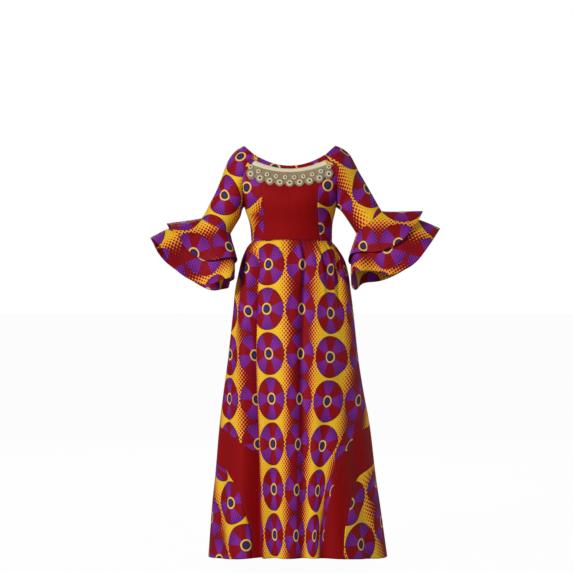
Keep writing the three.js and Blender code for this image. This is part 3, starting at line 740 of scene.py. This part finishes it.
def build():
    print_cloth, red_cloth = print_finish(), red_finish()
    lace, plain_lace = lace_finish(), thread_finish("taupe thread", paint(178, 162, 128), paint(132, 114, 86), 900.0)
    heart = thread_finish("dark thread", paint(112, 96, 62), paint(80, 66, 42), 900.0)
    cream = thread_finish("cream cord", paint(240, 232, 202), paint(206, 192, 152), 900.0)
    thread = thread_finish("red thread", paint(120, 14, 18), paint(84, 6, 10), 1200.0)
    in_bodice, in_skirt = (0, 0, -180), (12, 0, -900)

    def panel(name, start, stop, face, columns, finish, slot, laid):
        points = sheet_points(columns, 70, lambda s, t: bodice_point(1 - t, mix(start(1 - t), stop(1 - t), s), face))
        points = drop_seam(drop_seam(points, True, True, 1), False, True, 0)
        for side_sign in SIDES.values():
            points = creased(points, in_bodice, on_side(BODICE_CREASES, side_sign))
        flat = turned_flat(hanging_flat(points, laid["level"], laid["plumb"]), laid["turn"], (0, 0))
        cloth(name, points, flat, finish, in_bodice, slot)

    panel("front_bodice_centre", lambda h: -princess_turn(h), princess_turn, -1, 60, red_cloth, "plain_red",
          BODICE_LAID["back"])
    panel("back_bodice", lambda h: -seam_turn(h), seam_turn, 1, 96, print_cloth, "wax_print", BODICE_LAID["back"])
    for side, sign in SIDES.items():
        panel(f"front_bodice_side_{side}", lambda h: sign * princess_turn(h), lambda h: sign * seam_turn(h), -1, 30,
              print_cloth, "wax_print", BODICE_LAID[side])

        def sleeve_at(s, t):
            row = t * ELBOW_ROW
            extent = SLEEVE[side](row)["extent"] if row < UNDERARM_ROW else 180
            return sleeve_point(side, row, mix(-extent, extent, s))
        points = drop_seam(sheet_points(110, 110, sleeve_at), False, True, 0)
        points = creased(points, (sign * 190, 0, -190), on_side(SLEEVE_CREASES, sign))
        around, down = arc_lengths(points, 1), arc_lengths(points, 0)
        middle = points.shape[1] // 2
        laid = SLEEVE_LAID[side]
        flat = np.stack([around - around[:, [middle]] + laid["forward"],
                         np.repeat(down[:, [middle]], points.shape[1], 1) - laid["down"]], 2) * MM
        cloth(f"sleeve_{side}", points, flat, print_cloth, (sign * 190, 0, -190), "wax_print")

        ring = SLEEVE[side](ELBOW_ROW)
        in_arm = (sign * ring["mid_x"], -ring["forward"], ring["mid_z"] - 150)
        for tier, point_of in (("upper", upper_flounce_point), ("lower", lower_flounce_point)):
            points = sheet_points(200, 36, lambda s, t: point_of(side, mix(-180, 180, s), t))
            cloth(f"cuff_{tier}_{side}", points, round_flat(points), print_cloth, in_arm, "wax_print")

        edges = BAND_EDGES[side]

        def band_at(s, t):
            bent = t ** 1.5
            upper, lower = mix(BAND_TOP, 1, bent), mix(BAND_FOOT, 1, bent)
            return skirt_point(mix(upper, lower, s), mix(edges["upper"](upper)["angle"], edges["lower"](lower)["angle"], s))
        points = drop_seam(drop_seam(sheet_points(36, 110, band_at), True, True, 1), True, False, 0)
        cloth(f"skirt_band_{side}", points, hanging_flat(points, 0, 0), red_cloth, in_skirt, "plain_red")

        def corner_at(s, t):
            share = mix(BAND_FOOT, 1, 0.0006 + 0.9994 * t ** 1.5)
            return skirt_point(share, mix(edges["lower"](share)["angle"], sign * 90, s))
        points = drop_seam(sheet_points(60, 90, corner_at), True, True, 1)
        flat = turned_flat(hanging_flat(points, DISC_ROW_LEVEL, sign * 200), sign * 24, (sign * 0.03, 0.02))
        cloth(f"skirt_corner_{side}", points, flat, print_cloth, in_skirt, "wax_print")

    def front_turn(s, share):
        across = 2 * s - 1
        side = "right" if across < 0 else "left"
        edge = abs(BAND_EDGES[side]["upper"](share)["angle"]) if share > BAND_TOP else 90
        gathered = min(GATHER(share)["angle"], edge)
        return gathered * across + SIDES[side] * (edge - gathered) * across ** EDGE_POWER
    points = sheet_points(FRONT_COLUMNS, FRONT_ROWS, lambda s, t: skirt_point(t, front_turn(s, t)))
    shares = [r / FRONT_ROWS for r in range(FRONT_ROWS + 1)]
    angles = [[front_turn(c / FRONT_COLUMNS, share) for c in range(FRONT_COLUMNS + 1)] for share in shares]
    flat = front_flat(points, angles, shares)
    points = drop_seam(drop_seam(points, True, True, 1), True, False, 0)
    cloth("front_skirt", points, flat, print_cloth, in_skirt, "wax_print")
    points = sheet_points(220, 120, lambda s, t: skirt_point(t, mix(90, 270, s)))
    points = drop_seam(drop_seam(points, True, True, 1), True, False, 0)
    cloth("back_skirt", points, hanging_flat(points, DISC_ROW_LEVEL, 0), print_cloth, in_skirt, "wax_print")

    neck(print_cloth, lace, cream, plain_lace, heart)
    bodice_stitches(thread)
    skirt_stitches(thread)
    cuff_stitches(thread)


# ---------------------------------------------------------------- neck binding and lace trim

TRIM_LIFT = 1.6
TRIM_TOP = 0.955
TRIM_REACH = {"top": 0.8, "foot": 0.9}
CORD_TOP, CORD_WIDE, CORD_REACH, CORD_RISE = 0.966, 0.045, 0.84, 4.2
BINDING_REACH = 0.985
TRIM_ROWS = [
    {"name": "upper", "count": 10, "reach": 0.83, "spread": 1, "middle": 0.853, "end": 0.9,
     "back": {"Radius": 10.5, "Thickness": 0.9}, "ring": {"Radius": 5.6, "Thickness": 2.0},
     "heart": {"Radius": 3.8, "Thickness": 0.9}, "lift": {"back": 0.6, "ring": 1.8, "heart": 1.6}},
    {"name": "lower", "count": SCALLOPS, "reach": 0.9, "spread": 1 - 1 / SCALLOPS, "middle": 0.782, "end": 0.852,
     "back": {"Radius": 14.6, "Thickness": 1.2}, "ring": {"Radius": 7.0, "Thickness": 2.4},
     "heart": {"Radius": 4.6, "Thickness": 1.0}, "lift": {"back": 1.4, "ring": 2.8, "heart": 2.6}},
]


def even_turn(across, reach):
    """The turn of a point that lies `across` of the way to the turn `reach`, measured straight across."""
    return math.degrees(math.asin(across * math.sin(math.radians(reach))))


def on_front(turn, height, lift):
    """A point above the front bodice, and the direction away from the cloth there."""
    here = bodice_point(height, turn, -1)
    right = bodice_point(height, turn + 0.5, -1) - here
    up = bodice_point(min(height, 0.995) + 0.005, turn, -1) - bodice_point(min(height, 0.995), turn, -1)
    out = np.cross(right, up)
    return here + out / np.linalg.norm(out) * lift, out / np.linalg.norm(out)


def trim_foot(across):
    return mix(0.775, 0.84, across * across) - 0.045 * abs(math.sin(math.pi * SCALLOPS * (across + 1) / 2))


def trim_point(s, t, lift=TRIM_LIFT):
    across = 2 * s - 1
    height = mix(TRIM_TOP, trim_foot(across), t)
    reach = mix(TRIM_REACH["top"], TRIM_REACH["foot"], t)
    return on_front(even_turn(across, reach * seam_turn(height)), height, lift)[0]


def cord_point(s, t):
    """The flat cord along the trim's top: two soft ridges with a furrow between."""
    bulge = CORD_RISE * math.sin(math.pi * t) ** 0.6 * (1 - 0.25 * math.cos(math.pi * (2 * t - 1)) ** 8)
    height = CORD_TOP - CORD_WIDE * t
    return on_front(even_turn(2 * s - 1, CORD_REACH * seam_turn(height)), height, TRIM_LIFT + bulge)[0]


def neck(print_cloth, lace, cream, plain_lace, heart):
    inside = (0, 0, -180)

    def binding_at(s, t):
        height = 1 - BINDING_WIDTH * t
        return on_front(mix(-BINDING_REACH, BINDING_REACH, s) * seam_turn(height), height, LAID_ON)[0]
    points = sheet_points(120, 6, binding_at)
    flat = hanging_flat(points, -84, -52)
    cloth("neck_binding", points, flat, print_cloth, inside, "wax_print", rests_on=["front_bodice_centre"])
    points = sheet_points(200, 10, cord_point)
    cord = shell("neck_cord", points, hanging_flat(points, 0, 0), cream, inside, 0.5)
    ring, dome = ring_tree(), dome_tree()
    on_trim = [cord]
    for row in TRIM_ROWS:
        at = []
        for k in range(row["count"]):
            across = row["spread"] * (2 * k / (row["count"] - 1) - 1)
            height = mix(row["middle"], row["end"], across * across)
            at.append(on_front(even_turn(across, row["reach"] * seam_turn(height)), height, TRIM_LIFT))
        for part, tree, finish in (("back", dome, plain_lace), ("ring", ring, cream), ("heart", dome, heart)):
            sizes = {name: size * MM for name, size in row[part].items()}
            lift = row["lift"][part]
            base = bare_points([here + out * lift for here, out in at], [out for here, out in at])
            on_trim.append(repeated(f"trim_{row['name']}_{part}", base, tree, sizes, finish))
    points = sheet_points(360, 30, trim_point)
    cloth("neck_trim", points, hanging_flat(points, 0, 0), lace, inside, "lace", 0.5,
          rests_on=["front_bodice_centre"], with_pieces=on_trim)


# ---------------------------------------------------------------- repeated shapes

class Shapes:
    """A Geometry Nodes tree with named sizes, ending in realized instances with one finish."""

    def __init__(self, name, sizes):
        self.tree = bpy.data.node_groups.new(name, "GeometryNodeTree")
        self.tree.interface.new_socket("Geometry", in_out="OUTPUT", socket_type="NodeSocketGeometry")
        self.tree.interface.new_socket("Places", in_out="INPUT", socket_type="NodeSocketGeometry")
        for size in sizes:
            self.tree.interface.new_socket(size, in_out="INPUT", socket_type="NodeSocketFloat")
        self.tree.interface.new_socket("Finish", in_out="INPUT", socket_type="NodeSocketMaterial")
        self.given = self.tree.nodes.new("NodeGroupInput").outputs

    def add(self, kind, settings, inputs, output=0):
        node = self.tree.nodes.new(kind)
        for key, value in settings.items():
            setattr(node, key, value)
        for key, value in inputs.items():
            if isinstance(value, bpy.types.NodeSocket):
                self.tree.links.new(value, node.inputs[key])
            else:
                node.inputs[key].default_value = value
        return node.outputs[output]

    def end(self, places, shape, axis, toward, scale=(1, 1, 1)):
        turned = self.add("FunctionNodeAlignRotationToVector", {"axis": axis}, {"Vector": toward})
        copies = self.add("GeometryNodeInstanceOnPoints", {},
                          {"Points": places, "Instance": shape, "Rotation": turned, "Scale": scale})
        real = self.add("GeometryNodeRealizeInstances", {}, {"Geometry": copies})
        smooth = self.add("GeometryNodeSetShadeSmooth", {}, {0: real})
        done = self.add("GeometryNodeSetMaterial", {}, {"Geometry": smooth, "Material": self.given["Finish"]})
        self.tree.links.new(done, self.tree.nodes.new("NodeGroupOutput").inputs[0])
        return self.tree

    def outward(self):
        return self.add("GeometryNodeInputNamedAttribute", {"data_type": "FLOAT_VECTOR"}, {"Name": "out"})


def ring_tree():
    shapes = Shapes("thread rings", ("Radius", "Thickness"))
    round_it = shapes.add("GeometryNodeCurvePrimitiveCircle", {}, {"Resolution": 18, "Radius": shapes.given["Radius"]})
    thread = shapes.add("GeometryNodeCurvePrimitiveCircle", {}, {"Resolution": 7, "Radius": shapes.given["Thickness"]})
    ring = shapes.add("GeometryNodeCurveToMesh", {}, {"Curve": round_it, "Profile Curve": thread})
    return shapes.end(shapes.given["Places"], ring, "Z", shapes.outward())


def dome_tree():
    shapes = Shapes("thread domes", ("Radius", "Thickness"))
    ball = shapes.add("GeometryNodeMeshUVSphere", {}, {"Segments": 18, "Rings": 6, "Radius": 1.0})
    scale = shapes.add("ShaderNodeCombineXYZ", {}, {"X": shapes.given["Radius"], "Y": shapes.given["Radius"],
                                                    "Z": shapes.given["Thickness"]})
    return shapes.end(shapes.given["Places"], ball, "Z", shapes.outward(), scale)


def stitch_tree():
    shapes = Shapes("topstitches", ("Pitch", "Length", "Thickness"))
    line = shapes.add("GeometryNodeMeshToCurve", {}, {"Mesh": shapes.given["Places"]})
    node = shapes.tree.nodes.new("GeometryNodeResampleCurve")
    node.mode = "LENGTH"
    shapes.tree.links.new(line, node.inputs["Curve"])
    shapes.tree.links.new(shapes.given["Pitch"], node.inputs["Length"])
    ball = shapes.add("GeometryNodeMeshUVSphere", {}, {"Segments": 6, "Rings": 4, "Radius": 1.0})
    scale = shapes.add("ShaderNodeCombineXYZ", {}, {"X": shapes.given["Length"], "Y": shapes.given["Thickness"],
                                                    "Z": shapes.given["Thickness"]})
    return shapes.end(node.outputs[0], ball, "X", shapes.add("GeometryNodeInputTangent", {}, {}), scale)


def bare_points(places, outward):
    mesh = bpy.data.meshes.new("places")
    mesh.from_pydata([(p * MM).tolist() for p in places], [], [])
    mesh.attributes.new("out", "FLOAT_VECTOR", "POINT").data.foreach_set("vector", np.array(outward).ravel())
    return mesh


def bare_lines(lines):
    mesh = bpy.data.meshes.new("lines")
    places, edges = [], []
    for line in lines:
        first = len(places)
        places.extend((np.array(p) * MM).tolist() for p in line)
        edges.extend((first + k, first + k + 1) for k in range(len(line) - 1))
    mesh.from_pydata(places, edges, [])
    return mesh


def repeated(name, base, tree, sizes, finish):
    """The tree's shapes on the base mesh's points or lines, as one plain mesh."""
    piece = bpy.data.objects.new(name, base)
    bpy.context.scene.collection.objects.link(piece)
    modifier = piece.modifiers.new("shapes", "NODES")
    modifier.node_group = tree
    for item in tree.interface.items_tree:
        if item.in_out == "INPUT" and item.name in sizes:
            modifier[item.identifier] = sizes[item.name]
        if item.in_out == "INPUT" and item.name == "Finish":
            modifier[item.identifier] = finish
    depsgraph = bpy.context.evaluated_depsgraph_get()
    made = bpy.data.meshes.new_from_object(piece.evaluated_get(depsgraph), depsgraph=depsgraph)
    piece.modifiers.clear()
    piece.data = made
    if not made.materials:
        made.materials.append(finish)
    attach(piece, "root")
    return piece


# ---------------------------------------------------------------- stitches

STITCH = {"Pitch": 0.0034, "Length": 0.00125, "Thickness": 0.00032}
BESIDE_SEAM = 2.5         # degrees round the bodice between a seam and the stitches beside it


def bodice_stitches(thread):
    lines = [[bodice_point(h / 60, sign * (princess_turn(h / 60) - BESIDE_SEAM), -1) for h in range(1, 46)]
             for sign in SIDES.values()]
    lines += [[bodice_point(0.012, turn, face) for turn in np.linspace(-89, 89, 120)] for face in (-1, 1)]
    repeated("bodice_stitches", bare_lines(lines), stitch_tree(), STITCH, thread)


def skirt_stitches(thread):
    lines = [[skirt_point(0.984, degrees) for degrees in np.linspace(0, 360, 500)]]
    for side, edges in BAND_EDGES.items():
        lines.append([skirt_point(share, edges["upper"](share)["angle"] + SIDES[side] * 0.8)
                      for share in np.linspace(BAND_TOP + 0.008, 0.98, 90)])
        lines.append([skirt_point(share, edges["lower"](share)["angle"] - SIDES[side] * 0.8)
                      for share in np.linspace(BAND_FOOT + 0.008, 0.98, 80)])
    repeated("skirt_stitches", bare_lines(lines), stitch_tree(), STITCH, thread)


def cuff_stitches(thread):
    for side in SIDES:
        lines = [[point_of(side, angle, 0.955) for angle in np.linspace(-180, 180, 240)]
                 for point_of in (lower_flounce_point, upper_flounce_point)]
        repeated(f"cuff_stitches_{side}", bare_lines(lines), stitch_tree(), STITCH, thread)


camera()
studio()
build()
